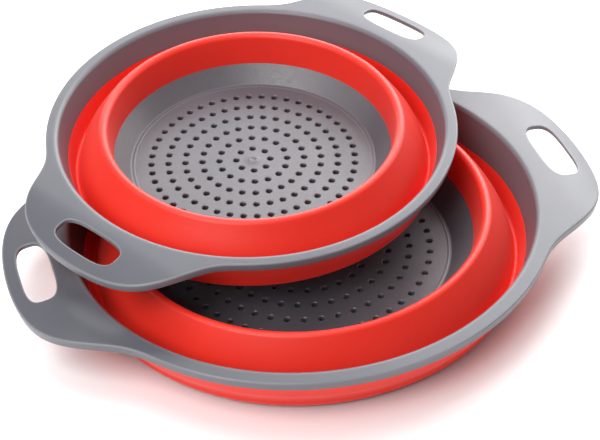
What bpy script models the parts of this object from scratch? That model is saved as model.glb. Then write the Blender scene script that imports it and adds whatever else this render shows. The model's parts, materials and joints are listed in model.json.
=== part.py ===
"""Set of two collapsible colanders, folded flat, with the small one lying on the large one.

Each colander is a rigid rim with two slotted handles, a silicone wall with two fold lines, and a
rigid perforated bottom. The wall is three bands: the upper band moves with the rim, the lower band
stays with the bottom, and the fold band between them turns inside out when the rim is pulled up.
Metres, +Z up, the large handles along X, origin under the middle of the whole set's outline.
"""

import math
from dataclasses import dataclass

import bmesh
import bpy
from mathutils import Matrix, Vector

# ---- driving dimensions ----------------------------------------------------------------------

SET_NAME = "collapsible_colander_set"


@dataclass(frozen=True)
class ColanderSizes:
    """Sizes of one folded colander, each measured from the piece that it has to fit.

    Depths are below the top of the rim.
    """

    name: str
    rim_radius: float  # outside of the flange, between the handles
    flange_width: float  # flat top of the rim
    wall_drop: float  # depth of the rigid inner wall of the rim
    wall_taper: float  # how far that wall leans in over its depth
    fold_inset: float  # from that wall's lower edge in to the middle of the bottom fold
    fold_depth: float  # lowest point of the bottom fold
    fold_span: float  # from the bottom fold in to the middle of the crest
    crest_rise: float  # top of the crest, above the rim
    dish_inset: float  # from the crest in to the top edge of the rigid bottom
    dish_taper: float  # from there in to the edge of the perforated floor
    dish_height: float
    floor_lift: float  # floor above the lowest point of the bottom fold
    foot_drop: float  # foot ring below that point
    hole_border: float  # from the last ring of holes out to the floor's edge
    handle_reach: float  # how far a handle stands out past the rim
    handle_droop: float  # how far its tip hangs down
    slot_inset: float  # from the rim's edge out to the handle's slot
    slot_border: float  # from the slot out to the handle's tip
    slot_length: float

    @property
    def wall_radius(self):
        return self.rim_radius - self.flange_width - self.wall_taper

    @property
    def fold_radius(self):
        return self.wall_radius - self.fold_inset

    @property
    def crest_radius(self):
        return self.fold_radius - self.fold_span

    @property
    def dish_radius(self):
        return self.crest_radius - self.dish_inset

    @property
    def floor_radius(self):
        return self.dish_radius - self.dish_taper

    @property
    def floor_depth(self):
        return self.fold_depth - self.floor_lift

    @property
    def dish_depth(self):
        return self.floor_depth - self.dish_height

    @property
    def foot_height(self):
        return self.floor_lift + self.foot_drop - PLATE_THICKNESS

    @property
    def hole_pitch(self):
        return (self.floor_radius - self.hole_border) / HOLE_RINGS

    @property
    def slot_width(self):
        return self.handle_reach - self.slot_inset - self.slot_border


LARGE = ColanderSizes(
    name="large", rim_radius=0.1200, flange_width=0.0081, wall_drop=0.0182, wall_taper=0.0048,
    fold_inset=0.0044, fold_depth=0.0288, fold_span=0.0142, crest_rise=0.0003,
    dish_inset=0.0065, dish_taper=0.0100, dish_height=0.0112, floor_lift=0.0026,
    foot_drop=0.0024, hole_border=0.0108, handle_reach=0.0246, handle_droop=0.0036,
    slot_inset=0.0024, slot_border=0.0069, slot_length=0.0420,
)
SMALL = ColanderSizes(
    name="small", rim_radius=LARGE.rim_radius / 1.2, flange_width=0.0058, wall_drop=0.0123,
    wall_taper=0.0042, fold_inset=0.0033, fold_depth=0.0246, fold_span=0.0143,
    crest_rise=0.0015, dish_inset=0.0044, dish_taper=0.0074, dish_height=0.0083,
    floor_lift=0.0015, foot_drop=0.0025, hole_border=0.0102, handle_reach=0.0234,
    handle_droop=0.0050, slot_inset=0.0030, slot_border=0.0067, slot_length=0.0362,
)

GAP = 0.0003  # between pieces that touch
RIGID_WALL = 0.0016  # rim wall and dish wall
FLANGE_THICKNESS = 0.0024
LIP_DEPTH = 0.0048  # turned-down edge of the flange
LIP_THICKNESS = 0.0020
SKIN = 0.0015  # silicone over the rigid walls
WEB = 0.0018  # silicone thickness between the folds
FOLD_OUTER = WEB + 0.0018  # outside radius of the bottom fold
CREST_OUTER = WEB + 0.0008  # outside radius of the top fold
BAND_BULGE = 0.0016  # how far the fold band swells outwards
PLATE_THICKNESS = 0.0024
FOOT_WIDTH = 0.0055
SKIN_OVERLAP = 0.6  # share of the dish wall's height that the silicone covers
NOTCH_WIDTH = 0.0080  # drain notches in the foot ring
HANDLE_SPREAD = math.radians(27.2)  # half angle of a handle's shoulder
HANDLE_SQUARENESS = 4.8
HOLE_RADIUS = 0.0015
HOLE_RINGS = 6
HOLES_IN_FIRST_RING = 8

# How the small colander lies on the large one: turned, and pushed towards one side.
SMALL_TURN = math.radians(30.95)
SMALL_SIDE = math.radians(106.5)  # direction in which it is pushed, from +X
FOOT_ON_CREST = 0.0151  # how far its foot ring reaches past the large crest
STEEPEST_TILT = math.radians(15)
TILT_HALVINGS = 40

SLOT_SQUARENESS = 3.2  # 2 is an ellipse, more is closer to a rectangle
OUTLINE_POINTS = 96
SLOT_POINTS = 20
RING_STEPS = 40
HOLE_SIDES = 6
BEND_CUTS = 5
SHARP_EDGE = math.radians(40)

GREY = (0.42, 0.42, 0.44, 1.0)
DARK_GREY = (0.30, 0.29, 0.31, 1.0)
CORAL = (0.80, 0.06, 0.04, 1.0)


# ---- scene helpers ---------------------------------------------------------------------------


def clear_scene():
    for obj in list(bpy.data.objects):
        bpy.data.objects.remove(obj, do_unlink=True)


def new_collection(name):
    collection = bpy.data.collections.new(name)
    bpy.context.scene.collection.children.link(collection)
    return collection


def plastic(name, colour, roughness):
    material = bpy.data.materials.new(name)
    material.use_nodes = True
    shader = material.node_tree.nodes["Principled BSDF"]
    shader.inputs["Base Color"].default_value = colour
    shader.inputs["Roughness"].default_value = roughness
    shader.inputs["Metallic"].default_value = 0.0
    return material


def add_object(name, data, collection, parent, material=None):
    obj = bpy.data.objects.new(name, data)
    collection.objects.link(obj)
    obj.parent = parent
    if material:
        data.materials.append(material)
    return obj


def add_empty(name, collection, parent=None):
    return add_object(name, None, collection, parent)


def turned(name, profile, collection, parent, material=None):
    """A closed (radius, height) profile, down its outer side first, turned about Z."""
    mesh = bpy.data.meshes.new(name)
    shape = bmesh.new()
    corners = [shape.verts.new((radius, 0.0, height)) for radius, height in profile]
    for first, second in zip(corners, corners[1:] + corners[:1]):
        shape.edges.new((first, second))
    shape.to_mesh(mesh)
    shape.free()
    obj = add_object(name, mesh, collection, parent, material)
    screw = obj.modifiers.new("turn", "SCREW")
    screw.steps = screw.render_steps = RING_STEPS
    screw.use_merge_vertices = True
    screw.merge_threshold = 0.0001
    screw.use_smooth_shade = True
    return obj


def extruded(name, outlines, low, high, collection, parent):
    """Closed plan outlines, later ones being holes in the first, as a plate from low to high."""
    curve = bpy.data.curves.new(name, "CURVE")
    curve.dimensions = "2D"
    curve.fill_mode = "BOTH"
    curve.extrude = (high - low) / 2
    for outline in outlines:
        spline = curve.splines.new("POLY")
        spline.points.add(len(outline) - 1)
        for point, (x, y) in zip(spline.points, outline):
            point.co = (x, y, 0.0, 1.0)
        spline.use_cyclic_u = True
    obj = add_object(name, curve, collection, parent)
    bpy.context.view_layer.update()
    mesh = bpy.data.meshes.new_from_object(obj.evaluated_get(bpy.context.evaluated_depsgraph_get()))
    bpy.data.objects.remove(obj)
    shape = bmesh.new()
    shape.from_mesh(mesh)
    bmesh.ops.remove_doubles(shape, verts=shape.verts, dist=0.00001)
    bmesh.ops.translate(shape, verts=shape.verts, vec=(0.0, 0.0, (low + high) / 2))
    bmesh.ops.recalc_face_normals(shape, faces=shape.faces)
    shape.to_mesh(mesh)
    shape.free()
    mesh.name = name
    return add_object(name, mesh, collection, parent)


def combine(obj, other, operation):
    boolean = obj.modifiers.new(operation.lower(), "BOOLEAN")
    boolean.operation = operation
    boolean.object = other


def hide_cutter(obj):
    obj.hide_render = True
    obj.display_type = "WIRE"
    return obj


def evaluated_mesh(obj):
    bpy.context.view_layer.update()
    return bpy.data.meshes.new_from_object(obj.evaluated_get(bpy.context.evaluated_depsgraph_get()))


# ---- plan outlines ---------------------------------------------------------------------------


def circle(radius, points):
    angles = [2 * math.pi * i / points for i in range(points)]
    return [(radius * math.cos(angle), radius * math.sin(angle)) for angle in angles]


def rim_outline(sizes, inset=0.0):
    """Outside of the rim: a circle with a square-shouldered bump for each handle."""
    outline = []
    for i in range(OUTLINE_POINTS):
        angle = 2 * math.pi * i / OUTLINE_POINTS
        off_axis = abs((angle + math.pi / 2) % math.pi - math.pi / 2)
        bump = math.exp(-((off_axis / HANDLE_SPREAD) ** HANDLE_SQUARENESS))
        radius = sizes.rim_radius + sizes.handle_reach * bump - inset
        outline.append((radius * math.cos(angle), radius * math.sin(angle)))
    return outline


def slot_outline(sizes, side):
    """Oval with gently bowed sides across a handle; side is +1 or -1."""
    middle = side * (sizes.rim_radius + sizes.slot_inset + sizes.slot_width / 2)
    power = 2 / SLOT_SQUARENESS
    outline = []
    for i in range(SLOT_POINTS):
        angle = 2 * math.pi * (i + 0.5) / SLOT_POINTS
        x = math.copysign(abs(math.cos(angle)) ** power, math.cos(angle)) * sizes.slot_width / 2
        y = math.copysign(abs(math.sin(angle)) ** power, math.sin(angle)) * sizes.slot_length / 2
        outline.append((middle + x, y))
    return outline


def arc(centre_radius, centre_height, radius, start, end, points):
    """Points on a circle in the (radius, height) plane, from start to end in degrees."""
    angles = [math.radians(start + (end - start) * i / (points - 1)) for i in range(points)]
    return [
        (centre_radius + radius * math.cos(angle), centre_height + radius * math.sin(angle))
        for angle in angles
    ]


def half_gap(radius):
    """Angle in degrees that half the gap between two bands takes up on a fold."""
    return math.degrees(math.asin(GAP / 2 / radius))


# ---- pieces of one colander ------------------------------------------------------------------


def rim_wall_radius(sizes, depth):
    """Inside face of the rim's wall at a depth below the rim's top."""
    slope = sizes.wall_taper / (sizes.wall_drop - FLANGE_THICKNESS)
    return sizes.rim_radius - sizes.flange_width - slope * max(0.0, depth - FLANGE_THICKNESS)


def bend_handles(obj, sizes):
    """Lets each handle droop in a parabola from the rim's edge to its tip."""
    start = sizes.rim_radius - LIP_THICKNESS
    shape = bmesh.new()
    shape.from_mesh(obj.data)
    for side in (-1, 1):
        for cut in range(BEND_CUTS):
            x = side * (start + sizes.handle_reach * cut / BEND_CUTS)
            geometry = shape.verts[:] + shape.edges[:] + shape.faces[:]
            bmesh.ops.bisect_plane(shape, geom=geometry, plane_co=(x, 0, 0), plane_no=(1, 0, 0))
    bmesh.ops.triangulate(shape, faces=shape.faces)
    for vert in shape.verts:
        past = max(0.0, abs(vert.co.x) - start) / (sizes.handle_reach + LIP_THICKNESS)
        vert.co.z -= sizes.handle_droop * past**2
    shape.to_mesh(obj.data)
    shape.free()


def make_rim(sizes, parts, cutters, parent, material):
    """Flange with handles, hollow underneath, and the rigid wall that hangs from it."""
    name = sizes.name + "_rim"
    inner = sizes.rim_radius - sizes.flange_width
    slots = [slot_outline(sizes, side) for side in (-1, 1)]
    blank = extruded(
        name + "_blank", [rim_outline(sizes), circle(inner, RING_STEPS)] + slots,
        -LIP_DEPTH, 0.0, cutters, parent,
    )
    pocket = extruded(
        name + "_pocket", [rim_outline(sizes, LIP_THICKNESS), circle(inner + GAP, RING_STEPS)],
        -2 * LIP_DEPTH, -FLANGE_THICKNESS, cutters, parent,
    )
    bottom = sizes.wall_radius
    wall = turned(
        name + "_wall",
        [
            (inner + RIGID_WALL, -FLANGE_THICKNESS / 2),
            (rim_wall_radius(sizes, FLANGE_THICKNESS) + RIGID_WALL, -FLANGE_THICKNESS),
            (bottom + RIGID_WALL, -sizes.wall_drop),
            (bottom, -sizes.wall_drop),
            (inner, -FLANGE_THICKNESS),
            (inner, -FLANGE_THICKNESS / 2),
        ],
        cutters, parent,
    )
    combine(blank, hide_cutter(pocket), "DIFFERENCE")
    combine(blank, hide_cutter(wall), "UNION")
    rim = add_object(name, evaluated_mesh(hide_cutter(blank)), parts, parent, material)
    bend_handles(rim, sizes)
    rim.data.set_sharp_from_angle(angle=SHARP_EDGE)
    return rim


def make_upper_band(sizes, parts, parent, material):
    """Silicone over the outside of the rim's wall, down to the outer half of the bottom fold."""
    top = FLANGE_THICKNESS + GAP
    seat = sizes.wall_drop + GAP
    fold_height = FOLD_OUTER - sizes.fold_depth
    lower = sizes.wall_radius
    skin_foot = lower + RIGID_WALL + GAP + SKIN
    split = sizes.fold_radius + GAP / 2
    profile = [
        (rim_wall_radius(sizes, top) + RIGID_WALL + GAP + SKIN, -top),
        (skin_foot, -sizes.wall_drop),
    ]
    profile += arc(
        sizes.fold_radius, fold_height, FOLD_OUTER, 15, half_gap(FOLD_OUTER) - 90, 5
    )
    profile += [(split, fold_height - FOLD_OUTER + WEB)]
    profile += arc(sizes.fold_radius, fold_height, FOLD_OUTER - WEB, -60, 0, 2)
    profile += [
        (lower, -seat),
        (lower + RIGID_WALL + GAP, -seat),
        (rim_wall_radius(sizes, top) + RIGID_WALL + GAP, -top),
    ]
    return turned(sizes.name + "_upper_band", profile, parts, parent, material)


def bulged(start, end, bulge, points):
    """Points strictly between start and end, swelling sideways (+radius) by bulge."""
    line = []
    for i in range(1, points + 1):
        share = i / (points + 1)
        swell = bulge * math.sin(math.pi * share)
        line.append(tuple(a + (b - a) * share + s for a, b, s in zip(start, end, (swell, 0.0))))
    return line


def make_fold_band(sizes, parts, parent, material):
    """Silicone that runs from the bottom fold up to the crest and turns inside out."""
    fold_height = FOLD_OUTER - sizes.fold_depth
    crest_height = sizes.crest_rise - CREST_OUTER
    crest = arc(
        sizes.crest_radius, crest_height, CREST_OUTER, 90 - half_gap(CREST_OUTER), 0, 3
    )
    crest_under = arc(sizes.crest_radius, crest_height, CREST_OUTER - WEB, 15, 75, 2)
    fold = arc(sizes.fold_radius, fold_height, FOLD_OUTER - WEB, 180, 240, 2)
    fold_under = arc(
        sizes.fold_radius, fold_height, FOLD_OUTER, -90 - half_gap(FOLD_OUTER), -180, 3
    )
    profile = crest + bulged(crest[-1], fold[0], BAND_BULGE, 2) + fold
    profile += [(sizes.fold_radius - GAP / 2, fold_height - FOLD_OUTER + WEB)]
    profile += fold_under + bulged(fold_under[-1], crest_under[0], BAND_BULGE, 2) + crest_under
    profile += [(sizes.crest_radius + GAP / 2, sizes.crest_rise - WEB)]
    return turned(sizes.name + "_fold_band", profile, parts, parent, material)


def dish_slope(sizes):
    """Direction down the dish wall and the direction out of its outer face, as unit pairs."""
    fall = Vector((sizes.floor_radius - sizes.dish_radius, sizes.dish_depth - sizes.floor_depth))
    fall.normalize()
    return fall, Vector((-fall.y, fall.x))


def dish_point(sizes, share, out):
    """A point a share of the way down the dish wall, moved out of its inner face."""
    top = Vector((sizes.dish_radius, -sizes.dish_depth))
    foot = Vector((sizes.floor_radius, -sizes.floor_depth))
    return tuple(top.lerp(foot, share) + out * dish_slope(sizes)[1])


def level_point(sizes, height, out):
    """The point at a height on the line that runs parallel to the dish wall, out from it."""
    fall = dish_slope(sizes)[0]
    start = dish_point(sizes, 0.0, out)
    return (start[0] + fall.x * (height - start[1]) / fall.y, height)


def make_lower_band(sizes, parts, parent, material):
    """Silicone from the crest down to the rigid bottom, and a skin over its outside."""
    crest_height = sizes.crest_rise - CREST_OUTER
    seat = GAP - sizes.dish_depth
    under = RIGID_WALL + GAP
    profile = [(sizes.crest_radius - GAP / 2, sizes.crest_rise - WEB)]
    profile += arc(sizes.crest_radius, crest_height, CREST_OUTER - WEB, 105, 180, 2)
    profile += [
        level_point(sizes, seat, under + SKIN),
        dish_point(sizes, SKIN_OVERLAP, under + SKIN),
        dish_point(sizes, SKIN_OVERLAP, under),
        level_point(sizes, seat, under),
        (sizes.dish_radius, seat),
    ]
    profile += arc(
        sizes.crest_radius, crest_height, CREST_OUTER, 180, 90 + half_gap(CREST_OUTER), 3
    )
    return turned(sizes.name + "_lower_band", profile, parts, parent, material)


def make_dish(sizes, parts, cutters, parent, material):
    """Rigid ring under the silicone: a cone, a seat for the floor plate and a foot ring."""
    plate_top = -sizes.floor_depth
    plate_bottom = plate_top - PLATE_THICKNESS
    foot = plate_bottom - sizes.foot_height
    seat_radius = sizes.floor_radius - FOOT_WIDTH
    outer = sizes.floor_radius + RIGID_WALL
    profile = [
        level_point(sizes, -sizes.dish_depth, RIGID_WALL),
        level_point(sizes, plate_top, RIGID_WALL),
        (outer, plate_bottom),
        (outer - GAP, foot),
        (seat_radius, foot),
        (seat_radius, plate_bottom - GAP),
        (sizes.floor_radius, plate_bottom - GAP),
        (sizes.floor_radius, plate_top),
        (sizes.dish_radius, -sizes.dish_depth),
    ]
    dish = turned(sizes.name + "_base_dish", profile, parts, parent, material)
    reach = 2 * (outer + FOOT_WIDTH)
    for quarter in (0, 1):
        bpy.ops.mesh.primitive_cube_add(size=1.0)
        notch = bpy.context.active_object
        notch.name = f"{sizes.name}_notch_{quarter}"
        notch.data.transform(Matrix.Diagonal((reach, NOTCH_WIDTH, sizes.foot_height, 1.0)))
        for collection in notch.users_collection:
            collection.objects.unlink(notch)
        cutters.objects.link(notch)
        notch.parent = parent
        notch.location = (0.0, 0.0, foot)
        notch.rotation_euler.z = quarter * math.pi / 2
        combine(dish, hide_cutter(notch), "DIFFERENCE")
    return dish


def hole_centres(sizes):
    """Rings of holes: ring k has k times the holes of the first."""
    for ring in range(1, HOLE_RINGS + 1):
        count = ring * HOLES_IN_FIRST_RING
        for i in range(count):
            angle = 2 * math.pi * i / count
            yield ring * sizes.hole_pitch * math.cos(angle), ring * sizes.hole_pitch * math.sin(angle)


def make_plate(sizes, parts, parent, material):
    """Perforated floor that lies on the dish's seat."""
    outlines = [circle(sizes.floor_radius - GAP, RING_STEPS)]
    for x, y in hole_centres(sizes):
        outlines.append([(x + dx, y + dy) for dx, dy in circle(HOLE_RADIUS, HOLE_SIDES)])
    top = -sizes.floor_depth
    plate = extruded(
        sizes.name + "_strainer_plate", outlines, top - PLATE_THICKNESS, top, parts, parent
    )
    plate.data.materials.append(material)
    return plate


def unfold_stroke(sizes):
    """Travel of the rim: the fold band turns over, so twice its height."""
    return 2 * (sizes.crest_rise + sizes.fold_depth - WEB)


def make_colander(sizes, parts, cutters, parent, greys, silicone):
    """One folded colander under two empties: its bottom, and its rim that slides up from it."""
    bottom = add_empty(sizes.name + "_bottom", parts, parent)
    top = add_empty(sizes.name + "_top", parts, bottom)
    make_rim(sizes, parts, cutters, top, greys[0])
    make_upper_band(sizes, parts, top, silicone)
    make_fold_band(sizes, parts, bottom, silicone)
    make_lower_band(sizes, parts, bottom, silicone)
    make_dish(sizes, parts, cutters, bottom, greys[1])
    make_plate(sizes, parts, bottom, greys[1])
    return bottom


# ---- how the small colander lies on the large one ----------------------------------------------


def foot_depth(sizes):
    return sizes.floor_depth + PLATE_THICKNESS + sizes.foot_height


def needed_height(radius, depth, tilt, push):
    """Height of the small rim at which one circle of its underside clears the large crest."""
    shifted = push + depth * math.sin(tilt)
    crest = LARGE.crest_radius
    along = (shifted**2 + crest**2 - radius**2) / (2 * shifted)
    along = max(-crest, min(crest, along))
    return LARGE.crest_rise + GAP + depth * math.cos(tilt) - (along - shifted) * math.tan(tilt)


def resting_pose():
    """Push, tilt and height at which foot ring and bottom fold both lie on the large crest."""
    foot_radius = SMALL.floor_radius + RIGID_WALL
    push = LARGE.crest_radius - foot_radius + FOOT_ON_CREST
    low, high = 0.0, STEEPEST_TILT
    for _ in range(TILT_HALVINGS):
        tilt = (low + high) / 2
        on_foot = needed_height(foot_radius, foot_depth(SMALL), tilt, push)
        on_fold = needed_height(SMALL.fold_radius, SMALL.fold_depth, tilt, push)
        if on_foot > on_fold:
            low = tilt
        else:
            high = tilt
    return push, tilt, max(on_foot, on_fold)


def lay_small_on_large(small):
    push, tilt, height = resting_pose()
    side = Vector((math.cos(SMALL_SIDE), math.sin(SMALL_SIDE), 0.0))
    lean = Matrix.Rotation(-tilt, 4, Vector((-side.y, side.x, 0.0)))
    place = Matrix.Translation(push * side + Vector((0.0, 0.0, height)))
    small.matrix_local = place @ lean @ Matrix.Rotation(SMALL_TURN, 4, "Z")


def centre_on_origin(root, parts):
    """Moves the root so that the middle of the set's box, at its lowest level, is the origin."""
    bpy.context.view_layer.update()
    graph = bpy.context.evaluated_depsgraph_get()
    corners = []
    for obj in parts.objects:
        if obj.type == "MESH":
            solid = obj.evaluated_get(graph)
            corners += [solid.matrix_world @ vertex.co for vertex in solid.data.vertices]
    low = [min(corner[axis] for corner in corners) for axis in range(3)]
    high = [max(corner[axis] for corner in corners) for axis in range(3)]
    root.location -= Vector(((low[0] + high[0]) / 2, (low[1] + high[1]) / 2, low[2]))


def main():
    clear_scene()
    parts = new_collection(SET_NAME)
    cutters = new_collection("cutters")
    rim_grey = plastic("rim_plastic", GREY, 0.38)
    base_grey = plastic("base_plastic", DARK_GREY, 0.45)
    silicone = plastic("silicone", CORAL, 0.42)
    root = add_empty("set", parts)
    make_colander(LARGE, parts, cutters, root, (rim_grey, base_grey), silicone)
    small = make_colander(SMALL, parts, cutters, root, (rim_grey, base_grey), silicone)
    lay_small_on_large(small)
    centre_on_origin(root, parts)
    for sizes in (LARGE, SMALL):
        print(f"{sizes.name}: the rim slides {unfold_stroke(sizes):.4f} m up to unfold")


main()
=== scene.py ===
"""Looks of a set of two collapsible colanders, folded flat, the small one lying on the large one.

Each colander has a satin grey rim with two slotted handles, a red silicone wall in three bands and
a grained grey bottom with round drain holes. Sizes are in metres. Profiles are drawn in a
colander's own frame, which has its origin in the middle of the rim's top, +Z along its axis and +X
through a handle.
"""

from __future__ import annotations

import json
import logging
import math
from dataclasses import dataclass
from enum import Enum
from typing import Callable, Iterable, Sequence

import bmesh
import bpy
from mathutils import Matrix, Vector
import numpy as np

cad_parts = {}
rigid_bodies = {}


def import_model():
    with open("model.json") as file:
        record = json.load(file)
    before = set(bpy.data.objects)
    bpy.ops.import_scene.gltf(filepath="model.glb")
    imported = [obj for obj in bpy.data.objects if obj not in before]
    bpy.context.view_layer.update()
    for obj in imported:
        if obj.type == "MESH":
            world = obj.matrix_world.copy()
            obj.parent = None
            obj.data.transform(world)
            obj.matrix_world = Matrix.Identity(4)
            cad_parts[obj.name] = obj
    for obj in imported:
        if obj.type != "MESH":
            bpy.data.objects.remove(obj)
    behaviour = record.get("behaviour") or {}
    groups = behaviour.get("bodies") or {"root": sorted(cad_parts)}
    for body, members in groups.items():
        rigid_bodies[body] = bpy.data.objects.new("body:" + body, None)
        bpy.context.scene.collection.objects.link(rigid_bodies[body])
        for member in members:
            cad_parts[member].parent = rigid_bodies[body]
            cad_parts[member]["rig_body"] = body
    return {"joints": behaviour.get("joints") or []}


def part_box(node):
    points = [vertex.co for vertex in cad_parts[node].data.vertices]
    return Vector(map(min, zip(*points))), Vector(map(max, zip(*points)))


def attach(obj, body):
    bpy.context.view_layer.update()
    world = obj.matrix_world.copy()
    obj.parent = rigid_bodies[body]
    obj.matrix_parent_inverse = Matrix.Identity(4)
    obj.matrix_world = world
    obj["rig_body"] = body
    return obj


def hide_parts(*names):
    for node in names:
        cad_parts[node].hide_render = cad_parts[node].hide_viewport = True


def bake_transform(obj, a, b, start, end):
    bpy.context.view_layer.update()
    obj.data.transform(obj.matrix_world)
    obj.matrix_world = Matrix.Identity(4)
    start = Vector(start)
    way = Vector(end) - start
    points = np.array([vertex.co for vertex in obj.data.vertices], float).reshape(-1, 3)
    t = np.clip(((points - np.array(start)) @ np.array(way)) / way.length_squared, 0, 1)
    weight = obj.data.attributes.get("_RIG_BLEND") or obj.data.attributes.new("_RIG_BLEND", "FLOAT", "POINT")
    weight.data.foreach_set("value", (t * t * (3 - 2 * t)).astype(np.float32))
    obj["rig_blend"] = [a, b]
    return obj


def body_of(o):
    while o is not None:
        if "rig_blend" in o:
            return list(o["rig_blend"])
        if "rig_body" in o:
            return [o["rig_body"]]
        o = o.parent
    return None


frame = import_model()

log = logging.getLogger("colander_set")

Pair = tuple[float, float]
Colour = tuple[float, float, float]
Shape = bmesh.types.BMesh
Face = bmesh.types.BMFace
Node = bpy.types.Node
Socket = bpy.types.NodeSocket

MM = 0.001
FULL_TURN = 2 * math.pi
TURN_STEPS = 192  # steps of one turn: round walls,
OUTLINE_STEPS = 288  # the rim's outline,
SLOT_STEPS = 72  # a handle's slot
HOLE_STEPS = 14  # and a drain hole
NUDGE = 0.002  # radians to each side, to find the direction of an outline
MERGE_DISTANCE = 0.002 * MM
LEVEL_TOLERANCE = 0.01 * MM
SHARP_ANGLE = math.radians(42)
SEAM = 0.04 * MM  # hairline between bonded pieces
EDGE_MASK = "edge"
SOFT_EDGE_TURN = 0.07  # radians between two faces, below which an edge gets none of the painted highlight
SHARP_EDGE_TURN = 0.28  # and above which it gets the full painted highlight
UNIT = (0.0, 1.0)


# ---- profiles in the (radius, height) plane ----------------------------------------------------


def arc(centre: Pair, radius: float, start: float, end: float, points: int) -> list[Pair]:
    """Points along a circle.

    Args:
        centre: Middle of the circle.
        radius: Its radius.
        start: First angle in degrees, counted from +radius towards +height.
        end: Last angle in degrees.
        points: How many points, both ends included.

    Returns:
        The points, from start to end.
    """
    line = []
    for i in range(points):
        angle = math.radians(start + (end - start) * i / (points - 1))
        line.append((centre[0] + radius * math.cos(angle), centre[1] + radius * math.sin(angle)))
    return line


def rounded(corners: Sequence[tuple[float, float, float]], points: int = 6) -> list[Pair]:
    """An open line with an arc at each corner that has a radius.

    Args:
        corners: (radius, height, rounding) of each corner; both ends have rounding 0.
        points: How many points each arc gets.

    Returns:
        The line with its corners rounded.
    """
    line = []
    for i, (x, y, rounding) in enumerate(corners):
        here = Vector((x, y))
        if rounding == 0.0:
            line.append((x, y))
            continue
        back = (Vector(corners[i - 1][:2]) - here).normalized()
        ahead = (Vector(corners[i + 1][:2]) - here).normalized()
        half = back.angle(ahead) / 2
        centre = here + (back + ahead).normalized() * (rounding / math.sin(half))
        first = here + back * (rounding / math.tan(half)) - centre
        last = here + ahead * (rounding / math.tan(half)) - centre
        sweep = first.angle_signed(last)
        for j in range(points):
            spoke = Matrix.Rotation(-sweep * j / (points - 1), 2) @ first
            line.append(tuple(centre + spoke))
    return line


def swept(start: Pair, start_pull: Pair, end_pull: Pair, end: Pair, points: int) -> list[Pair]:
    """Points strictly inside a cubic curve.

    Args:
        start: First end of the curve, left out of the result.
        start_pull: Control point next to it.
        end_pull: Control point next to the other end.
        end: Last end of the curve, left out of the result.
        points: How many points.

    Returns:
        The points, from start to end.
    """
    line = []
    for i in range(1, points + 1):
        t = i / (points + 1)
        weights = ((1 - t) ** 3, 3 * t * (1 - t) ** 2, 3 * t**2 * (1 - t), t**3)
        knots = (start, start_pull, end_pull, end)
        line.append(tuple(sum(w * k[axis] for w, k in zip(weights, knots)) for axis in (0, 1)))
    return line


def beside(line: Sequence[Pair], distance: float) -> list[Pair]:
    """The line moved sideways, to the right of its direction.

    Args:
        line: Points of an open line.
        distance: How far each point moves.

    Returns:
        The moved points, in the same order.
    """
    moved = []
    for i, point in enumerate(line):
        before = Vector(line[max(i - 1, 0)])
        after = Vector(line[min(i + 1, len(line) - 1)])
        along = (after - before).normalized()
        moved.append((point[0] + distance * along.y, point[1] - distance * along.x))
    return moved


# ---- mesh building -----------------------------------------------------------------------------


def spin_line(
    shape: Shape, line: Sequence[Pair], closed: bool = False, steps: int = TURN_STEPS,
    bend: Callable[[float, float], Pair] | None = None,
) -> None:
    """Turns a profile once round Z.

    Args:
        shape: Mesh to add the turned surface to.
        line: (radius, height) points.
        closed: Whether the last point joins the first.
        steps: How many steps one turn has.
        bend: Gives a turned point's plan place from its angle and radius, where it isn't a circle.
    """
    part = bmesh.new()
    verts = [part.verts.new((radius, 0.0, height)) for radius, height in line]
    edges = [part.edges.new(pair) for pair in zip(verts, verts[1:])]
    if closed:
        edges.append(part.edges.new((verts[-1], verts[0])))
    bmesh.ops.spin(
        part, geom=verts + edges, cent=(0, 0, 0), axis=(0, 0, 1), dvec=(0, 0, 0),
        angle=FULL_TURN, steps=steps, use_merge=True,
    )
    for vert in part.verts if bend else ():
        vert.co.xy = bend(math.atan2(vert.co.y, vert.co.x), vert.co.xy.length)
    append(shape, part)


def append(shape: Shape, part: Shape, places: Iterable[Matrix] = (Matrix(),)) -> None:
    """Adds one or more copies of a part to a shape.

    Args:
        shape: Mesh that receives them.
        part: The part; it is freed.
        places: Where each copy goes.
    """
    count = len(part.verts)
    mesh = bpy.data.meshes.new("part")
    part.to_mesh(mesh)
    part.free()
    for place in places:
        shape.from_mesh(mesh)
        shape.verts.ensure_lookup_table()
        bmesh.ops.transform(shape, matrix=place, verts=shape.verts[-count:])
    bpy.data.meshes.remove(mesh)


def fill_level(shape: Shape, height: float) -> list[Face]:
    """Closes the flat area between all open rings at one height.

    Args:
        shape: Mesh that holds the rings.
        height: Level of the area.

    Returns:
        The new faces.
    """
    edges = [
        edge for edge in shape.edges
        if len(edge.link_faces) < 2
        and all(abs(vert.co.z - height) < LEVEL_TOLERANCE for vert in edge.verts)
    ]
    made = bmesh.ops.triangle_fill(shape, use_beauty=True, edges=edges, normal=(0, 0, 1))
    return [item for item in made["geom"] if isinstance(item, Face)]


def mark_edges(shape: Shape) -> None:
    """Gives every point a mask of how sharply the surface turns outwards there, which places the painted
    edge highlight.

    Args:
        shape: The finished shape, facing outwards.
    """
    layer = shape.verts.layers.float.new(EDGE_MASK)
    for vert in shape.verts:
        turns = [edge.calc_face_angle_signed(0.0) for edge in vert.link_edges]
        sharpness = (max(turns, default=0.0) - SOFT_EDGE_TURN) / (SHARP_EDGE_TURN - SOFT_EDGE_TURN)
        vert[layer] = min(1.0, max(0.0, sharpness))


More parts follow.
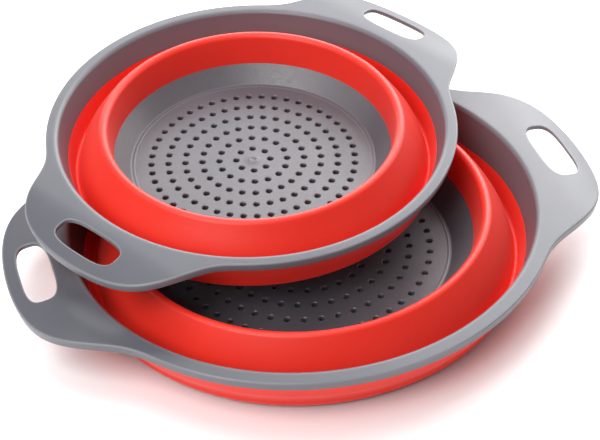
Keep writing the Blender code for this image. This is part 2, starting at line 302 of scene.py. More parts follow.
def make_piece(
    name: str, shape: Shape, place: Matrix, finish: bpy.types.Material
) -> bpy.types.Object:
    """Turns a finished shape into an object that sits at the origin.

    Args:
        name: Name of the piece.
        shape: The shape in its colander's frame; it is freed.
        place: Where that frame is.
        finish: Material of the piece.

    Returns:
        The new object.
    """
    bmesh.ops.remove_doubles(shape, verts=shape.verts, dist=MERGE_DISTANCE)
    bmesh.ops.recalc_face_normals(shape, faces=shape.faces)
    mark_edges(shape)
    bmesh.ops.transform(shape, matrix=place, verts=shape.verts)
    mesh = bpy.data.meshes.new(name)
    shape.to_mesh(mesh)
    shape.free()
    mesh.shade_smooth()
    mesh.set_sharp_from_angle(angle=SHARP_ANGLE)
    mesh.materials.append(finish)
    piece = bpy.data.objects.new(name, mesh)
    bpy.context.scene.collection.objects.link(piece)
    log.info("%s: %d faces", name, len(mesh.polygons))
    return piece


# ---- finishes ----------------------------------------------------------------------------------


class Slot(Enum):
    """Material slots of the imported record."""

    RIM = "rim_plastic"
    BASE = "base_plastic"
    SILICONE = "silicone"


class NodeGraph:
    """Short calls for adding and joining shader nodes in one tree."""

    def __init__(self, tree: bpy.types.NodeTree) -> None:
        """Keeps the tree that the calls work on."""
        self.tree = tree

    def add(self, kind: str, **settings: object) -> Node:
        """Adds a node.

        Args:
            kind: Its type's name.
            **settings: Values for its properties.

        Returns:
            The node.
        """
        node = self.tree.nodes.new(kind)
        for name, value in settings.items():
            setattr(node, name, value)
        return node

    def join(self, output: Socket, target: Socket) -> None:
        """Links an output to an input."""
        self.tree.links.new(output, target)

    def noise(self, vector: Socket, scale: Socket | float, detail: float) -> Node:
        """Adds a noise texture.

        Args:
            vector: Coordinates that it reads.
            scale: A fixed scale, or a socket that gives it.
            detail: Its octaves.

        Returns:
            The noise node.
        """
        node = self.add("ShaderNodeTexNoise")
        node.inputs["Detail"].default_value = detail
        if isinstance(scale, float):
            node.inputs["Scale"].default_value = scale
        else:
            self.join(scale, node.inputs["Scale"])
        self.join(vector, node.inputs["Vector"])
        return node

    def remap(self, value: Socket, source: Pair, target: Pair) -> Socket:
        """Stretches a value from one range to another.

        Args:
            value: The value.
            source: Range that it comes in.
            target: Range that it leaves in.

        Returns:
            The stretched value.
        """
        node = self.add("ShaderNodeMapRange")
        for name, number in zip(("From Min", "From Max", "To Min", "To Max"), source + target):
            node.inputs[name].default_value = number
        self.join(value, node.inputs["Value"])
        return node.outputs["Result"]

    def math(self, operation: str, first: Socket, second: Socket) -> Socket:
        """Combines two values.

        Args:
            operation: Name of the sum.
            first: Its first value.
            second: Its second value.

        Returns:
            The result.
        """
        node = self.add("ShaderNodeMath", operation=operation)
        self.join(first, node.inputs[0])
        self.join(second, node.inputs[1])
        return node.outputs[0]

    def tint(self, base: Socket, colour: Colour, mask: Socket, strength: float) -> Socket:
        """Mixes a fixed colour into another.

        Args:
            base: Colour that it starts from.
            colour: Colour that is mixed in.
            mask: Where it is mixed in.
            strength: How much of it there is where the mask is 1.

        Returns:
            The mixed colour.
        """
        node = self.add("ShaderNodeMix", data_type="RGBA")
        node.inputs["B"].default_value = (*colour, 1.0)
        self.join(base, node.inputs["A"])
        self.join(self.remap(mask, UNIT, (0.0, strength)), node.inputs["Factor"])
        return node.outputs["Result"]


def new_group(
    name: str, inputs: dict[str, float], outputs: Sequence[str]
) -> tuple[NodeGraph, Node, Node]:
    """Starts a shader node group that reads a vector and some numbers.

    Args:
        name: Its name.
        inputs: Number inputs with their default values.
        outputs: Names of its number outputs.

    Returns:
        The group's graph, its input node and its output node.
    """
    tree = bpy.data.node_groups.new(name, "ShaderNodeTree")
    tree.interface.new_socket("Vector", in_out="INPUT", socket_type="NodeSocketVector")
    for label, value in inputs.items():
        socket = tree.interface.new_socket(label, in_out="INPUT", socket_type="NodeSocketFloat")
        socket.default_value = value
    for label in outputs:
        tree.interface.new_socket(label, in_out="OUTPUT", socket_type="NodeSocketFloat")
    graph = NodeGraph(tree)
    return graph, graph.add("NodeGroupInput"), graph.add("NodeGroupOutput")


NOISE_SPAN = (0.3, 0.7)  # where most of a noise's values lie


def moulded_grain() -> bpy.types.NodeTree:
    """Builds the spark-eroded grain of a mould: a fine pebble height and a slow drift in tone.

    Returns:
        The node group, with outputs Height, Drift and Polish.
    """
    inputs = {"Grain Scale": 1500.0, "Drift Scale": 22.0}
    graph, entry, leave = new_group("moulded_grain", inputs, ("Height", "Drift", "Polish"))
    pebble = graph.add("ShaderNodeTexVoronoi", feature="SMOOTH_F1")
    graph.join(entry.outputs["Vector"], pebble.inputs["Vector"])
    graph.join(entry.outputs["Grain Scale"], pebble.inputs["Scale"])
    fine = graph.noise(entry.outputs["Vector"], entry.outputs["Grain Scale"], 3.0)
    height = graph.math("ADD", pebble.outputs["Distance"], fine.outputs["Fac"])
    drift = graph.noise(entry.outputs["Vector"], entry.outputs["Drift Scale"], 4.0)
    graph.join(height, leave.inputs["Height"])
    for noise, label in ((drift, "Drift"), (fine, "Polish")):
        graph.join(graph.remap(noise.outputs["Fac"], NOISE_SPAN, UNIT), leave.inputs[label])
    return graph.tree


def marks_and_edge_highlight() -> bpy.types.NodeTree:
    """Builds the faint scuffs and dust that a kitchen tool picks up, and a painted highlight along sharp
    edges.

    Returns:
        The node group, with outputs Scuffs, Dust and Edges, the last being the painted edge highlight.
    """
    inputs = {"Scuff Scale": 60.0, "Dust Scale": 420.0, "Patch Scale": 14.0}
    graph, entry, leave = new_group("marks_and_edge_highlight", inputs, ("Scuffs", "Dust", "Edges"))
    stretch = graph.add("ShaderNodeMapping")
    stretch.inputs["Scale"].default_value = (1.0, 9.0, 4.0)
    stretch.inputs["Rotation"].default_value = (0.2, 0.4, 0.7)
    graph.join(entry.outputs["Vector"], stretch.inputs["Vector"])
    streaks = graph.noise(stretch.outputs["Vector"], entry.outputs["Scuff Scale"], 6.0)
    patches = graph.noise(entry.outputs["Vector"], entry.outputs["Patch Scale"], 2.0)
    scuffs = graph.math(
        "MULTIPLY",
        graph.remap(streaks.outputs["Fac"], (0.56, 0.66), UNIT),
        graph.remap(patches.outputs["Fac"], (0.45, 0.65), UNIT),
    )
    specks = graph.add("ShaderNodeTexVoronoi", feature="F1")
    graph.join(entry.outputs["Vector"], specks.inputs["Vector"])
    graph.join(entry.outputs["Dust Scale"], specks.inputs["Scale"])
    # Painted highlight along sharp edges, patchy in strength: it lightens the colour where light would catch
    # on them.
    edge = graph.add("ShaderNodeAttribute", attribute_name=EDGE_MASK)
    painted_highlight = graph.remap(patches.outputs["Fac"], (0.35, 0.6), (0.7, 1.0))
    graph.join(graph.math("MULTIPLY", edge.outputs["Fac"], painted_highlight), leave.inputs["Edges"])
    graph.join(scuffs, leave.inputs["Scuffs"])
    dust = graph.remap(specks.outputs["Distance"], (0.05, 0.14), (1.0, 0.0))
    graph.join(dust, leave.inputs["Dust"])
    return graph.tree


DUST_COLOUR = (0.62, 0.6, 0.58)
# Colour of the painted highlight on sharp edges, where light would catch on them.
EDGE_HIGHLIGHT_COLOUR = (0.62, 0.62, 0.64)
SCUFF_DULLING = 0.04  # roughness that a scuff adds


@dataclass(frozen=True)
class Finish:
    """One moulded material."""

    slot: Slot
    colour: Colour  # where the surface is fresh
    shade: Colour  # where the pigment lies thicker
    roughness: Pair  # between polished and dull spots
    grain_scale: float
    grain_depth: float
    dust: float  # how much the dust lightens it
    edge_highlight_lift: float = 0.0  # how much a painted highlight lightens sharp edges
    specular: float = 0.5
    sheen: float = 0.0

    def material(self, grain: bpy.types.NodeTree, marks: bpy.types.NodeTree) -> bpy.types.Material:
        """Builds the Blender material.

        Args:
            grain: The shared grain group.
            marks: The shared group of scuffs, dust and the painted edge highlight.

        Returns:
            The material, named after its slot.
        """
        material = bpy.data.materials.new(self.slot.value)
        material.use_nodes = True
        graph = NodeGraph(material.node_tree)
        shader = material.node_tree.nodes["Principled BSDF"]
        where = graph.add("ShaderNodeTexCoord").outputs["Object"]
        surface = graph.add("ShaderNodeGroup", node_tree=grain)
        wear_and_highlight = graph.add("ShaderNodeGroup", node_tree=marks)
        surface.inputs["Grain Scale"].default_value = self.grain_scale
        for node in (surface, wear_and_highlight):
            graph.join(where, node.inputs["Vector"])
        self._dress_colour(graph, shader, surface, wear_and_highlight)
        self._dress_gloss(graph, shader, surface, wear_and_highlight)
        shader.inputs["Specular IOR Level"].default_value = self.specular
        shader.inputs["Sheen Weight"].default_value = self.sheen
        return material

    def _dress_colour(self, graph: NodeGraph, shader: Node, surface: Node, wear_and_highlight: Node) -> None:
        """Feeds the base colour, with dust specks and a painted highlight on sharp edges.

        Args:
            graph: The material's graph.
            shader: Its Principled shader.
            surface: Its grain group node.
            wear_and_highlight: Its group node of scuffs, dust and the painted edge highlight.
        """
        pigment = graph.add("ShaderNodeMix", data_type="RGBA")
        pigment.inputs["A"].default_value = (*self.shade, 1.0)
        pigment.inputs["B"].default_value = (*self.colour, 1.0)
        graph.join(surface.outputs["Drift"], pigment.inputs["Factor"])
        dusty = graph.tint(pigment.outputs["Result"], DUST_COLOUR, wear_and_highlight.outputs["Dust"], self.dust)
        # Painted highlight: sharp edges are lightened in the colour itself.
        painted_highlight = graph.tint(dusty, EDGE_HIGHLIGHT_COLOUR, wear_and_highlight.outputs["Edges"], self.edge_highlight_lift)
        graph.join(painted_highlight, shader.inputs["Base Color"])

    def _dress_gloss(self, graph: NodeGraph, shader: Node, surface: Node, wear_and_highlight: Node) -> None:
        """Feeds the roughness and the normal.

        Args:
            graph: The material's graph.
            shader: Its Principled shader.
            surface: Its grain group node.
            wear_and_highlight: Its group node of scuffs, dust and the painted edge highlight.
        """
        base = graph.remap(surface.outputs["Polish"], UNIT, self.roughness)
        scuffed = graph.remap(wear_and_highlight.outputs["Scuffs"], UNIT, (0.0, SCUFF_DULLING))
        graph.join(graph.math("ADD", base, scuffed), shader.inputs["Roughness"])
        bump = graph.add("ShaderNodeBump")
        bump.inputs["Distance"].default_value = self.grain_depth
        graph.join(surface.outputs["Height"], bump.inputs["Height"])
        graph.join(bump.outputs["Normal"], shader.inputs["Normal"])


# The rim's sharp edges carry a painted highlight in their colour.
RIM_FINISH = Finish(
    slot=Slot.RIM, colour=(0.097, 0.099, 0.118), shade=(0.086, 0.088, 0.105),
    roughness=(0.32, 0.42), grain_scale=2600.0, grain_depth=0.012 * MM, dust=0.02, edge_highlight_lift=0.2,
)
BASE_FINISH = Finish(
    slot=Slot.BASE, colour=(0.104, 0.102, 0.117), shade=(0.078, 0.077, 0.089),
    roughness=(0.40, 0.52), grain_scale=1100.0, grain_depth=0.04 * MM, dust=0.10, specular=0.85,
)
SILICONE_FINISH = Finish(
    slot=Slot.SILICONE, colour=(0.86, 0.032, 0.017), shade=(0.82, 0.026, 0.013),
    roughness=(0.36, 0.46), grain_scale=3000.0, grain_depth=0.006 * MM, dust=0.015, specular=0.4,
    sheen=0.04,
)


# ---- one colander ------------------------------------------------------------------------------


@dataclass(frozen=True)
class Shell:
    """Wall sizes that both colanders share."""

    rigid: float = 1.6 * MM  # rim wall and dish wall
    flange: float = 2.4 * MM
    lip_depth: float = 4.8 * MM
    lip: float = 2.0 * MM
    lip_lean: float = 1.0 * MM
    lip_roll: float = 0.7 * MM  # rounding of the outer edge
    throat_roll: float = 2.6 * MM  # rounding from the flange into the rim's wall
    slot_roll: float = 0.6 * MM
    skin: float = 1.5 * MM  # silicone over the rigid walls
    web: float = 1.8 * MM  # silicone between the folds
    fold: float = 3.6 * MM  # outside radius of the bottom fold
    crest: float = 2.6 * MM  # outside radius of the top fold
    plate: float = 2.4 * MM
    foot_width: float = 5.5 * MM
    skin_overlap: float = 0.6  # share of the dish's outside that the silicone covers
    bead_height: float = 0.16 * MM  # fine bead round the floor
    hole_radius: float = 1.5 * MM
    hole_edge: float = 0.35 * MM  # softened edge of each hole


@dataclass(frozen=True)
class ColanderSizes:
    """Sizes of one folded colander. Depths are below the top of its rim."""

    name: str
    rim_radius: float
    flange_width: float
    wall_drop: float  # depth of the rim's inner wall
    wall_taper: float  # how far it leans in
    fold_radius: float
    fold_depth: float
    crest_radius: float
    crest_rise: float
    dish_radius: float
    dish_depth: float
    floor_radius: float
    floor_depth: float
    foot_height: float
    hole_pitch: float
    handle_reach: float
    handle_droop: float
    slot_inset: float
    slot_width: float
    slot_length: float
    turn: float  # degrees from +X to its handle
    handle_spread: float = 27.2  # degrees from a handle's axis to its shoulder
    handle_squareness: float = 4.8  # more makes the shoulders steeper


LARGE = ColanderSizes(
    name="large", rim_radius=120.0 * MM, flange_width=8.1 * MM, wall_drop=18.2 * MM,
    wall_taper=4.8 * MM, fold_radius=102.7 * MM, fold_depth=28.8 * MM, crest_radius=88.5 * MM,
    crest_rise=0.3 * MM, dish_radius=82.0 * MM, dish_depth=15.0 * MM, floor_radius=72.0 * MM,
    floor_depth=26.2 * MM, foot_height=2.6 * MM, hole_pitch=10.2 * MM, handle_reach=24.6 * MM,
    handle_droop=3.6 * MM, slot_inset=2.4 * MM, slot_width=15.3 * MM, slot_length=42.0 * MM,
    turn=0.0,
)
SMALL = ColanderSizes(
    name="small", rim_radius=100.0 * MM, flange_width=5.8 * MM, wall_drop=12.3 * MM,
    wall_taper=4.2 * MM, fold_radius=86.7 * MM, fold_depth=24.6 * MM, crest_radius=72.4 * MM,
    crest_rise=1.5 * MM, dish_radius=68.0 * MM, dish_depth=14.8 * MM, floor_radius=60.6 * MM,
    floor_depth=23.1 * MM, foot_height=1.6 * MM, hole_pitch=8.4 * MM, handle_reach=23.4 * MM,
    handle_droop=5.0 * MM, slot_inset=3.0 * MM, slot_width=13.7 * MM, slot_length=36.2 * MM,
    turn=30.95,
)


def colander_place(sizes: ColanderSizes, shell: Shell) -> Matrix:
    """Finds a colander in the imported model.

    Args:
        sizes: Its sizes.
        shell: The shared wall sizes.

    Returns:
        The matrix from the colander's own frame to the set's.
    """
    joint = next(j for j in frame["joints"] if j["name"] == sizes.name + "_unfold")
    axis = Vector(joint["axis"]).normalized()
    low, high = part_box(sizes.name + "_strainer_plate")
    centre = (low + high) / 2 + axis * (sizes.floor_depth + shell.plate / 2)
    lean = Vector((0, 0, 1)).rotation_difference(axis).to_matrix().to_4x4()
    return Matrix.Translation(centre) @ lean @ Matrix.Rotation(math.radians(sizes.turn), 4, "Z")


@dataclass(frozen=True)
class Rim:
    """Rigid rim: a flange with two slotted handles, a turned-down lip and an inner wall."""

    sizes: ColanderSizes
    shell: Shell
    bend_cuts: int = 14  # how often each handle's flats are cut so that they can bend
    slot_squareness: float = 3.2  # 2 is an ellipse, more is closer to a rectangle
    lip_foot_roll: float = 0.5 * MM
    wall_foot_roll: float = 0.25 * MM
    lip_ledge: float = 0.5 * MM  # flat strips beside a rounding, for the flange's flats to join
    lip_back_ledge: float = 0.4 * MM
    slot_ledge: float = 0.4 * MM
    wall_ledge: float = 0.3 * MM

    def inner_radius(self) -> float:
        """Returns the radius where the flange ends and the wall begins."""
        return self.sizes.rim_radius - self.sizes.flange_width

    def edge_point(self, angle: float) -> Vector:
        """Finds a point of the rim's plan outline.

        Args:
            angle: Its angle from the handles' axis.

        Returns:
            The point, pushed out by a square-shouldered bump at each handle.
        """
        s = self.sizes
        off_axis = abs((angle + math.pi / 2) % math.pi - math.pi / 2)
        bump = math.exp(-((off_axis / math.radians(s.handle_spread)) ** s.handle_squareness))
        return (s.rim_radius + s.handle_reach * bump) * Vector((math.cos(angle), math.sin(angle)))

    def bend_to_edge(self, angle: float, radius: float) -> Pair:
        """Moves a point of a round lip to the rim's outline.

        Args:
            angle: The point's angle.
            radius: Its radius on the round lip.

        Returns:
            Its plan place, as far inside the outline as it was inside the circle.
        """
        along = (self.edge_point(angle + NUDGE) - self.edge_point(angle - NUDGE)).normalized()
        inset = self.sizes.rim_radius - radius
        return tuple(self.edge_point(angle) + inset * Vector((-along.y, along.x)))

    def bend_to_slot(self, side: int) -> Callable[[float, float], Pair]:
        """Makes the bend that spreads a round collar to a slot.

        Args:
            side: 1 for the handle at +X, -1 for the other.

        Returns:
            A function from an angle and a radius to the plan place.
        """
        s = self.sizes
        middle = side * (s.rim_radius + s.slot_inset + s.slot_width / 2)
        half = Vector((s.slot_width / 2, s.slot_length / 2))
        power = 2 / self.slot_squareness

        def on_edge(angle: float) -> Vector:
            """Returns a point of the slot's bowed outline, from its middle."""
            spoke = (math.cos(angle), math.sin(angle))
            return Vector([math.copysign(abs(c) ** power, c) * h for c, h in zip(spoke, half)])

        def bend(angle: float, radius: float) -> Pair:
            """Returns a collar point's plan place on the slot."""
            turned = angle + math.pi / SLOT_STEPS
            along = (on_edge(turned + NUDGE) - on_edge(turned - NUDGE)).normalized()
            place = on_edge(turned) + (radius - half.x) * Vector((along.y, -along.x))
            return (middle + place.x, place.y)

        return bend

    def _lip_line(self) -> list[Pair]:
        """Returns the profile from the flange's top over the lip to its underside."""
        w = self.shell
        edge, foot = self.sizes.rim_radius, -w.lip_depth
        back = edge - w.lip_lean - w.lip
        return rounded([
            (edge - w.lip_roll - self.lip_ledge, 0.0, 0.0), (edge, 0.0, w.lip_roll),
            (edge - w.lip_lean, foot, self.lip_foot_roll), (back, foot, self.lip_foot_roll),
            (back, -w.flange, 0.0), (back - self.lip_back_ledge, -w.flange, 0.0),
        ])

    def _slot_line(self) -> list[Pair]:
        """Returns the profile from the flange's top through a slot to its underside."""
        w = self.shell
        edge = self.sizes.slot_width / 2
        ledge = edge + w.slot_roll + self.slot_ledge
        return rounded([
            (ledge, 0.0, 0.0), (edge, 0.0, w.slot_roll), (edge, -w.flange, w.slot_roll),
            (ledge, -w.flange, 0.0),
        ])

    def _wall_line(self) -> list[Pair]:
        """Returns the profile from the flange's top down the inner wall and up its back."""
        w, s = self.shell, self.sizes
        inner = self.inner_radius()
        bottom = inner - s.wall_taper
        return rounded([
            (inner + w.throat_roll + self.wall_ledge, 0.0, 0.0), (inner, 0.0, w.throat_roll),
            (bottom, -s.wall_drop, self.wall_foot_roll),
            (bottom + w.rigid, -s.wall_drop, self.wall_foot_roll),
            (inner + w.rigid, -w.flange, 0.0), (inner + w.rigid + self.wall_ledge, -w.flange, 0.0),
        ], points=8)

    def _droop(self, shape: Shape, flats: list[Face]) -> None:
        """Lets each handle hang in a parabola from the rim's edge to its tip.

        Args:
            shape: The rim.
            flats: Its flat faces, which are cut to follow the bend.
        """
        s = self.sizes
        start = s.rim_radius - self.shell.lip
        for side in (-1, 1):
            for cut in range(self.bend_cuts):
                x = side * (start + s.handle_reach * cut / self.bend_cuts)
                parts = {item for face in flats for item in (*face.edges, *face.verts)}
                made = bmesh.ops.bisect_plane(
                    shape, geom=flats + list(parts), plane_co=(x, 0, 0), plane_no=(1, 0, 0)
                )
                flats = [item for item in made["geom"] if isinstance(item, Face)]
        bmesh.ops.triangulate(shape, faces=[face for face in shape.faces if len(face.verts) > 4])
        for vert in shape.verts:
            past = max(0.0, abs(vert.co.x) - start) / (s.handle_reach + self.shell.lip)
            vert.co.z -= s.handle_droop * past**2

    def build(self, place: Matrix, finish: bpy.types.Material) -> bpy.types.Object:
        """Models the rim.

        Args:
            place: Where the colander is.
            finish: Its material.

        Returns:
            The rim, riding on the body that slides up.
        """
        name = self.sizes.name
        shape = bmesh.new()
        spin_line(shape, self._wall_line())
        spin_line(shape, self._lip_line(), steps=OUTLINE_STEPS, bend=self.bend_to_edge)
        for side in (-1, 1):
            spin_line(shape, self._slot_line(), steps=SLOT_STEPS, bend=self.bend_to_slot(side))
        self._droop(shape, fill_level(shape, 0.0) + fill_level(shape, -self.shell.flange))
        piece = make_piece(name + "_moulded_rim", shape, place, finish)
        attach(piece, name + "_top")
        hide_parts(name + "_rim")
        return piece


@dataclass(frozen=True)
class SiliconeWall:
    """Folding wall in three bands, bonded to the rim above and to the dish below."""

    sizes: ColanderSizes
    shell: Shell
    crest_end: float = 35.0  # degrees above level, where the fold band leaves the crest
    tuck_end: float = 168.0  # where the lower band leaves it on the inside
    swell: float = 9.0 * MM  # pull of the fold band's ends, which bows it
    skin_bow: float = 12.0 * MM  # rounding from the rim's skin into the bottom fold
    skin_rise: float = 1.0 * MM  # how far above the wall's foot and the fold's middle it bends
    skin_flare: float = 0.2 * MM
    fold_fullness: float = 0.97  # share of the fold's radius that the skin comes down on

    def fold_centre(self) -> Pair:
        """Returns the middle of the bottom fold's round section."""
        return (self.sizes.fold_radius, self.shell.fold - self.sizes.fold_depth)

    def crest_centre(self) -> Pair:
        """Returns the middle of the crest's round section."""
        return (self.sizes.crest_radius, self.sizes.crest_rise - self.shell.crest)

    def upper_profile(self) -> list[Pair]:
        """Returns the closed section of the band over the rim's wall, down to the bottom fold."""
        s, w = self.sizes, self.shell
        inner = s.rim_radius - s.flange_width
        lower = inner - s.wall_taper
        back = w.rigid + SEAM
        top = -w.flange - SEAM
        outer = rounded([
            (inner + back + w.skin, top, 0.0),
            (
                lower + back + w.skin + self.skin_flare, -s.wall_drop + self.skin_rise,
                self.skin_bow,
            ),
            (
                s.fold_radius + self.fold_fullness * w.fold,
                self.fold_centre()[1] + self.skin_rise, 0.0,
            ),
        ], points=9)
        fold = arc(self.fold_centre(), w.fold, 5, -90, 24)
        groove = arc(self.fold_centre(), w.fold - w.web, -90, 0, 20)
        foot = -s.wall_drop - SEAM
        seat = [(lower, foot), (lower + back, foot), (inner + back, top)]
        return outer + fold + groove + seat

    def fold_profile(self) -> list[Pair]:
        """Returns the closed section of the band that turns inside out."""
        w = self.shell
        crest = arc(self.crest_centre(), w.crest, 90, self.crest_end, 18)
        fold = arc(self.fold_centre(), w.fold - w.web, 180, 270, 20)
        slope = math.radians(self.crest_end)
        leaving = Vector(crest[-1]) + self.swell * Vector((math.sin(slope), -math.cos(slope)))
        arriving = (fold[0][0], fold[0][1] + self.swell)
        swell = swept(crest[-1], tuple(leaving), arriving, fold[0], 12)
        upper = crest + swell + fold
        under = beside(upper, w.web)
        under[0] = (self.sizes.crest_radius, upper[0][1] - w.web)
        under[-1] = (self.sizes.fold_radius, upper[-1][1] - w.web)
        return upper + under[::-1]

    def lower_profile(self) -> list[Pair]:
        """Returns the closed section of the band from the crest down over the dish's outside."""
        s, w = self.sizes, self.shell
        crest = arc(self.crest_centre(), w.crest, 90, self.tuck_end, 24)
        hidden = arc(self.crest_centre(), w.crest - w.web, self.tuck_end, 90, 12)
        top = Vector((s.dish_radius, -s.dish_depth - SEAM))
        fall = Vector((s.floor_radius, -s.floor_depth)) - top
        out = Vector((-fall.y, fall.x)).normalized()
        end = top + fall * w.skin_overlap
        back = w.rigid + SEAM
        skirt = [
            tuple(top + SEAM * Vector((0, 1))),
            tuple(top + Vector((back / out.x, 0))),
            tuple(end + back * out),
            tuple(end + (back + w.skin) * out),
            tuple(top + Vector(((back + w.skin) / out.x, 0))),
        ]
        return crest + skirt + hidden

    def build(self, place: Matrix, finish: bpy.types.Material) -> list[bpy.types.Object]:
        """Models the three bands.

        Args:
            place: Where the colander is.
            finish: Their material.

        Returns:
            The bands, each riding on the bodies that it follows.
        """
        name = self.sizes.name
        bottom, top = name + "_bottom", name + "_top"
        pieces = []
        profiles = (self.upper_profile(), self.fold_profile(), self.lower_profile())
        for band, profile in zip(("upper", "fold", "lower"), profiles):
            shape = bmesh.new()
            spin_line(shape, profile, closed=True)
            piece = make_piece(f"{name}_silicone_{band}", shape, place, finish)
            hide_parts(f"{name}_{band}_band")
            pieces.append(piece)
        upper, fold, lower = pieces
        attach(upper, top)
        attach(lower, bottom)
        start = place @ Vector((0, 0, self.sizes.crest_rise - self.shell.web))
        end = place @ Vector((0, 0, self.shell.web - self.sizes.fold_depth))
        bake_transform(fold, bottom, top, start=start, end=end)
        return pieces


@dataclass(frozen=True)
class Base:
    """Rigid bottom: a dish, a foot ring and a perforated floor."""

    sizes: ColanderSizes
    shell: Shell
    hole_rings: int = 6
    first_ring: int = 8  # holes in the first ring; each ring has as many more
    bead_inset: float = 1.6 * MM  # from the floor's edge
    bead_half: float = 0.7 * MM
    bead_ledge: float = 0.5 * MM
    gate_mark: tuple[Pair, ...] = (  # raised ring and dimple, as (radius, rise) points
        (2.6 * MM, 0.0), (2.3 * MM, 0.12 * MM), (1.9 * MM, 0.22 * MM),
        (1.4 * MM, 0.18 * MM), (0.9 * MM, -0.15 * MM), (0.0, -0.3 * MM),
    )

    def profile(self) -> list[Pair]:
        """Returns the open section from the floor's edge, over the dish, to its underside."""
        s, w = self.sizes, self.shell
        floor, under = -s.floor_depth, -s.floor_depth - w.plate
        foot = under - s.foot_height
        top = Vector((s.dish_radius, -s.dish_depth))
        fall = Vector((s.floor_radius, floor)) - top
        out = Vector((-fall.y, fall.x)).normalized()
        outer = s.floor_radius + w.rigid
        rim = top + Vector((w.rigid / out.x, 0))
        knee = rim + fall * ((floor - rim.y) / fall.y)
        bead = s.floor_radius - self.bead_inset
        start = bead - self.bead_half
        seat = s.floor_radius - w.foot_width
        return rounded([
            (start - self.bead_ledge, floor, 0.0), (start, floor, 0.2 * MM),
            (bead, floor + w.bead_height, 0.4 * MM),
            (bead + self.bead_half, floor + 0.05 * MM, 0.2 * MM),
            (s.floor_radius, floor + 0.1 * MM, 0.9 * MM), (top.x, top.y, 0.15 * MM),
            (rim.x, rim.y, 0.15 * MM), (knee.x, knee.y, 1.0 * MM), (outer, foot, 0.6 * MM),
            (seat, foot, 0.6 * MM), (seat, under, 0.5 * MM), (seat - 1.5 * MM, under, 0.0),
        ], points=5)

    def hole_centres(self) -> Iterable[Vector]:
        """Yields the middle of each drain hole, ring by ring."""
        for ring in range(1, self.hole_rings + 1):
            count = ring * self.first_ring
            for i in range(count):
                angle = FULL_TURN * i / count
                radius = ring * self.sizes.hole_pitch
                yield Vector((radius * math.cos(angle), radius * math.sin(angle), 0.0))

    def _pierce(self, shape: Shape) -> None:
        """Adds the wall of each drain hole, with softened edges.

        Args:
            shape: The base.
        """
        w = self.shell
        floor, under = -self.sizes.floor_depth, -self.sizes.floor_depth - w.plate
        wide = w.hole_radius + w.hole_edge
        hole = bmesh.new()
        spin_line(hole, rounded([
            (wide + 0.45 * MM, floor, 0.0), (wide, floor, 0.0),
            (w.hole_radius, floor - w.hole_edge, 0.0),
            (w.hole_radius, under, w.hole_edge), (wide + 0.1 * MM, under, 0.0),
        ], points=3), steps=HOLE_STEPS)
        append(shape, hole, (Matrix.Translation(centre) for centre in self.hole_centres()))

    def build(self, place: Matrix, finish: bpy.types.Material) -> bpy.types.Object:
        """Models the base.

        Args:
            place: Where the colander is.
            finish: Its material.

        Returns:
            The base, riding on the body that stays down.
        """
        name = self.sizes.name
        floor = -self.sizes.floor_depth
        shape = bmesh.new()
        self._pierce(shape)
        spin_line(shape, self.profile())
        spin_line(shape, [(radius, floor + rise) for radius, rise in self.gate_mark])
        fill_level(shape, floor)
        fill_level(shape, floor - self.shell.plate)
        piece = make_piece(name + "_moulded_base", shape, place, finish)
        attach(piece, name + "_bottom")
        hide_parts(name + "_base_dish", name + "_strainer_plate")
        return piece


@dataclass(frozen=True)
class Colander:
    """One colander: its rim, its folding wall and its base."""

    sizes: ColanderSizes
    shell: Shell

    def build(self, finishes: dict[Slot, bpy.types.Material]) -> list[bpy.types.Object]:
        """Models the whole colander.

        Args:
            finishes: Material of each slot.

        Returns:
            Its pieces.
        """
        place = colander_place(self.sizes, self.shell)
        rim = Rim(self.sizes, self.shell).build(place, finishes[Slot.RIM])
        wall = SiliconeWall(self.sizes, self.shell).build(place, finishes[Slot.SILICONE])
        base = Base(self.sizes, self.shell).build(place, finishes[Slot.BASE])
        return [rim, *wall, base]


# ---- studio ------------------------------------------------------------------------------------


def direction(azimuth: float, elevation: float) -> Vector:
    """Points from the set towards the studio.

    Args:
        azimuth: Degrees from +X towards +Y.
        elevation: Degrees above level.

    Returns:
        A vector of length 1.
    """
    turn, rise = math.radians(azimuth), math.radians(elevation)
    level = math.cos(rise)
    return Vector((math.cos(turn) * level, math.sin(turn) * level, math.sin(rise)))


@dataclass(frozen=True)
class SoftLight:
    """A rectangular white studio light that faces the set."""

    name: str
    azimuth: float  # degrees from +X towards +Y
    elevation: float
    power: float
    distance: float = 1.0
    width: float = 0.6
    height: float = 0.6

    def build(self, target: Vector) -> bpy.types.Object:
        """Adds the light.

        Args:
            target: What it faces.

        Returns:
            The light.
        """
        data = bpy.data.lights.new(self.name, "AREA")
        data.shape = "RECTANGLE"
        data.size, data.size_y = self.width, self.height
        data.energy = self.power
        light = bpy.data.objects.new(self.name, data)
        away = direction(self.azimuth, self.elevation)
        light.location = target + self.distance * away
        light.rotation_euler = (-away).to_track_quat("-Z", "Y").to_euler()
        bpy.context.scene.collection.objects.link(light)
        return light


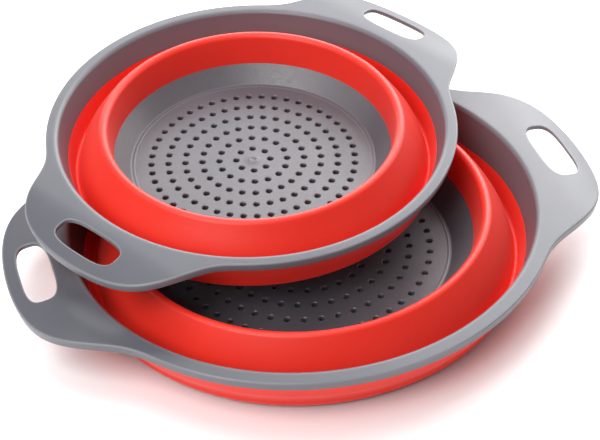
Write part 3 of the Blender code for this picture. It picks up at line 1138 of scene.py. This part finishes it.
@dataclass(frozen=True)
class Studio:
    """Plain pale floor that glows away from the set, soft lights and the camera."""

    view_azimuth: float = -15.55  # degrees; 0 looks along +Y
    view_elevation: float = 39.25
    view_roll: float = -3.41
    distance: float = 0.8205
    ambient: float = 0.20  # how strongly the surroundings light the set
    aim_right: float = 1.05 * MM  # where the large rim's middle lies from the picture's middle
    aim_down: float = -6.08 * MM
    lens: float = 102.6
    clip: Pair = (0.05, 50.0)
    floor_radius: float = 12.0
    floor_tone: float = 0.92
    floor_roughness: float = 0.7
    glow_span: Pair = (0.11, 0.34)  # how far from the origin the floor's glow starts and ends; the glow paints light over the floor's shadows there
    glow: float = 0.85
    lights: tuple[SoftLight, ...] = (
        SoftLight("front_left_key", azimuth=-140.0, elevation=50.0, power=7.6),
        SoftLight("ceiling", azimuth=120.0, elevation=80.0, power=5.4, distance=1.2),
        SoftLight("back_window", azimuth=66.0, elevation=35.0, power=6.2, width=0.8, height=0.5),
        SoftLight("left_fill", azimuth=160.0, elevation=40.0, power=1.0),
        SoftLight(
            "right_window", azimuth=36.0, elevation=35.0, power=2.2, distance=0.7, width=0.5,
            height=0.5,
        ),
        SoftLight(
            "backdrop_glow", azimuth=80.0, elevation=15.0, power=7.0, distance=1.2, width=1.6,
            height=0.4,
        ),
        SoftLight(
            "right_rim_light", azimuth=30.0, elevation=20.0, power=0.4, distance=0.45, width=0.35,
            height=0.25,
        ),
    )

    def camera(self, target: Vector) -> bpy.types.Object:
        """Adds the camera.

        Args:
            target: Middle of the large rim's top.

        Returns:
            The camera.
        """
        back = direction(self.view_azimuth - 90, self.view_elevation)
        upright = (-back).to_track_quat("-Z", "Y")
        turn = upright @ Matrix.Rotation(math.radians(self.view_roll), 3, "Z").to_quaternion()
        right, up = turn @ Vector((1, 0, 0)), turn @ Vector((0, 1, 0))
        data = bpy.data.cameras.new("camera")
        data.lens = self.lens
        data.clip_start, data.clip_end = self.clip
        camera = bpy.data.objects.new("camera", data)
        camera.rotation_mode = "QUATERNION"
        camera.rotation_quaternion = turn
        aim = target - self.aim_right * right + self.aim_down * up
        camera.location = aim + self.distance * back
        bpy.context.scene.collection.objects.link(camera)
        bpy.context.scene.camera = camera
        return camera

    def floor(self) -> bpy.types.Object:
        """Adds the pale floor, which glows more the further it lies from the origin, painting light over its
        shadows there.

        Returns:
            The floor, which isn't part of the set.
        """
        shape = bmesh.new()
        bmesh.ops.create_circle(shape, cap_ends=True, radius=self.floor_radius, segments=64)
        mesh = bpy.data.meshes.new("floor")
        shape.to_mesh(mesh)
        shape.free()
        material = bpy.data.materials.new("floor_paper")
        material.use_nodes = True
        shader = material.node_tree.nodes["Principled BSDF"]
        shader.inputs["Base Color"].default_value = (*[self.floor_tone] * 3, 1.0)
        shader.inputs["Roughness"].default_value = self.floor_roughness
        # Painted light: the floor emits light that rises with distance from the origin, washing its shadows
        # out away from the set.
        shader.inputs["Emission Strength"].default_value = 1.0
        graph = NodeGraph(material.node_tree)
        away = graph.add("ShaderNodeVectorMath", operation="LENGTH")
        graph.join(graph.add("ShaderNodeTexCoord").outputs["Object"], away.inputs[0])
        glow = graph.remap(away.outputs["Value"], self.glow_span, (0.0, self.glow))
        graph.join(glow, shader.inputs["Emission Color"])
        mesh.materials.append(material)
        floor = bpy.data.objects.new("floor", mesh)
        bpy.context.scene.collection.objects.link(floor)
        return floor

    def daylight(self) -> None:
        """Sets the even surroundings, which look white but light the set only softly."""
        world = bpy.data.worlds.new("white_room")
        world.use_nodes = True
        shader = world.node_tree.nodes["Background"]
        shader.inputs["Color"].default_value = (1.0, 1.0, 1.0, 1.0)
        graph = NodeGraph(world.node_tree)
        seen = graph.add("ShaderNodeLightPath").outputs["Is Camera Ray"]
        graph.join(graph.remap(seen, UNIT, (self.ambient, 1.0)), shader.inputs["Strength"])
        bpy.context.scene.world = world
        bpy.context.scene.view_settings.view_transform = "Standard"

    def build(self, target: Vector) -> None:
        """Sets up the whole studio.

        Args:
            target: Middle of the large rim's top.
        """
        self.daylight()
        self.floor()
        self.camera(target)
        for light in self.lights:
            light.build(target)


def main() -> None:
    """Builds both colanders and the studio, and reports each piece."""
    logging.basicConfig(level=logging.INFO, format="%(message)s")
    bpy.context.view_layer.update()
    shell = Shell()
    grain, marks = moulded_grain(), marks_and_edge_highlight()
    looks = (RIM_FINISH, BASE_FINISH, SILICONE_FINISH)
    finishes = {look.slot: look.material(grain, marks) for look in looks}
    Studio().build(colander_place(LARGE, shell).translation)
    for sizes in (LARGE, SMALL):
        for piece in Colander(sizes, shell).build(finishes):
            log.info("%s rides on %s", piece.name, body_of(piece))


if __name__ == "__main__":
    main()
